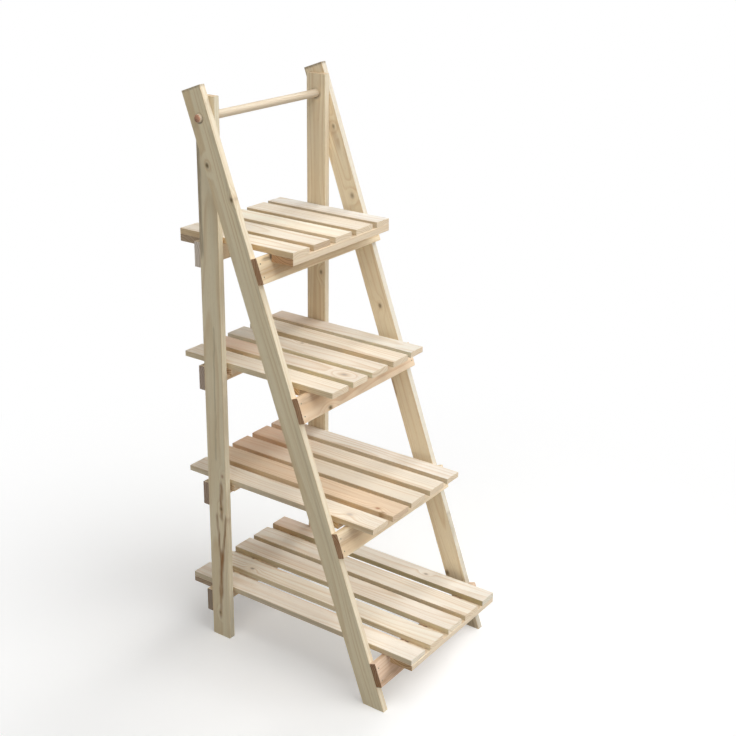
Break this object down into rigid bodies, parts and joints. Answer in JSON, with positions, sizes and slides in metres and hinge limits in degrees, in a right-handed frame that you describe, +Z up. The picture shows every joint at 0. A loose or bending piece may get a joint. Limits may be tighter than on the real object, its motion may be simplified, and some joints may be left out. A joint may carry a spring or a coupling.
{
  "type": "folding plant stand",
  "caption": "Folding wooden ladder stand for potted plants: leaning front legs hinged to upright rear legs, with loose slatted shelves on bearers.",
  "frame": {"origin": "on the floor, under the middle of the stand's outline", "axes": "+Z up, +X along the hinge towards the stand's right side, +Y from the front towards the upright rear legs"},
  "size_m": [0.361, 0.525, 1.09],
  "materials": {
    "leg_pine": "planed bare pine",
    "bearer_pine": "planed bare pine",
    "slat_pine": "planed bare pine, pale and slightly knotty",
    "cleat_pine": "planed bare pine",
    "dowel_wood": "turned bare hardwood",
    "steel": "bright nails and screws"
  },
  "bodies": {
    "rear_frame": {"rear_leg_left": "leg_pine", "rear_leg_right": "leg_pine", "hinge_dowel": "dowel_wood", "top_rear_bearer": "bearer_pine", "upper_rear_bearer": "bearer_pine", "lower_rear_bearer": "bearer_pine", "bottom_rear_bearer": "bearer_pine", "rear_bearer_nails": "steel"},
    "front_frame": {"front_leg_left": "leg_pine", "front_leg_right": "leg_pine", "top_front_bearer": "bearer_pine", "upper_front_bearer": "bearer_pine", "lower_front_bearer": "bearer_pine", "bottom_front_bearer": "bearer_pine", "front_bearer_nails": "steel"},
    "top_shelf": {"top_shelf_slat_1": "slat_pine", "top_shelf_slat_2": "slat_pine", "top_shelf_slat_3": "slat_pine", "top_shelf_slat_4": "slat_pine", "top_shelf_slat_5": "slat_pine", "top_shelf_front_cleat": "cleat_pine", "top_shelf_rear_cleat": "cleat_pine", "top_shelf_screws": "steel"},
    "upper_shelf": {"upper_shelf_slat_1": "slat_pine", "upper_shelf_slat_2": "slat_pine", "upper_shelf_slat_3": "slat_pine", "upper_shelf_slat_4": "slat_pine", "upper_shelf_slat_5": "slat_pine", "upper_shelf_front_cleat": "cleat_pine", "upper_shelf_rear_cleat": "cleat_pine", "upper_shelf_screws": "steel"},
    "lower_shelf": {"lower_shelf_slat_1": "slat_pine", "lower_shelf_slat_2": "slat_pine", "lower_shelf_slat_3": "slat_pine", "lower_shelf_slat_4": "slat_pine", "lower_shelf_slat_5": "slat_pine", "lower_shelf_front_cleat": "cleat_pine", "lower_shelf_rear_cleat": "cleat_pine", "lower_shelf_screws": "steel"},
    "bottom_shelf": {"bottom_shelf_slat_1": "slat_pine", "bottom_shelf_slat_2": "slat_pine", "bottom_shelf_slat_3": "slat_pine", "bottom_shelf_slat_4": "slat_pine", "bottom_shelf_slat_5": "slat_pine", "bottom_shelf_front_cleat": "cleat_pine", "bottom_shelf_rear_cleat": "cleat_pine", "bottom_shelf_screws": "steel"}
  },
  "joints": [
    {"name": "front_frame_fold", "type": "hinge", "parent": "rear_frame", "child": "front_frame", "pos_m": [0, 0.1755, 1.03333], "axis": [1, 0, 0], "range_deg": [0, 19.6]},
    {"name": "top_shelf_lift", "type": "slide", "parent": "rear_frame", "child": "top_shelf", "axis": [0, 0, 1], "range_m": [0, 0.11]},
    {"name": "upper_shelf_lift", "type": "slide", "parent": "rear_frame", "child": "upper_shelf", "axis": [0, 0, 1], "range_m": [0, 0.13]},
    {"name": "lower_shelf_lift", "type": "slide", "parent": "rear_frame", "child": "lower_shelf", "axis": [0, 0, 1], "range_m": [0, 0.13]},
    {"name": "bottom_shelf_lift", "type": "slide", "parent": "rear_frame", "child": "bottom_shelf", "axis": [0, 0, 1], "range_m": [0, 0.11]}
  ],
  "couplings": [
    {"joint": "upper_shelf_lift", "follows": "front_frame_fold", "m_per_rad": 0.38},
    {"joint": "lower_shelf_lift", "follows": "front_frame_fold", "m_per_rad": 0.38}
  ]
}
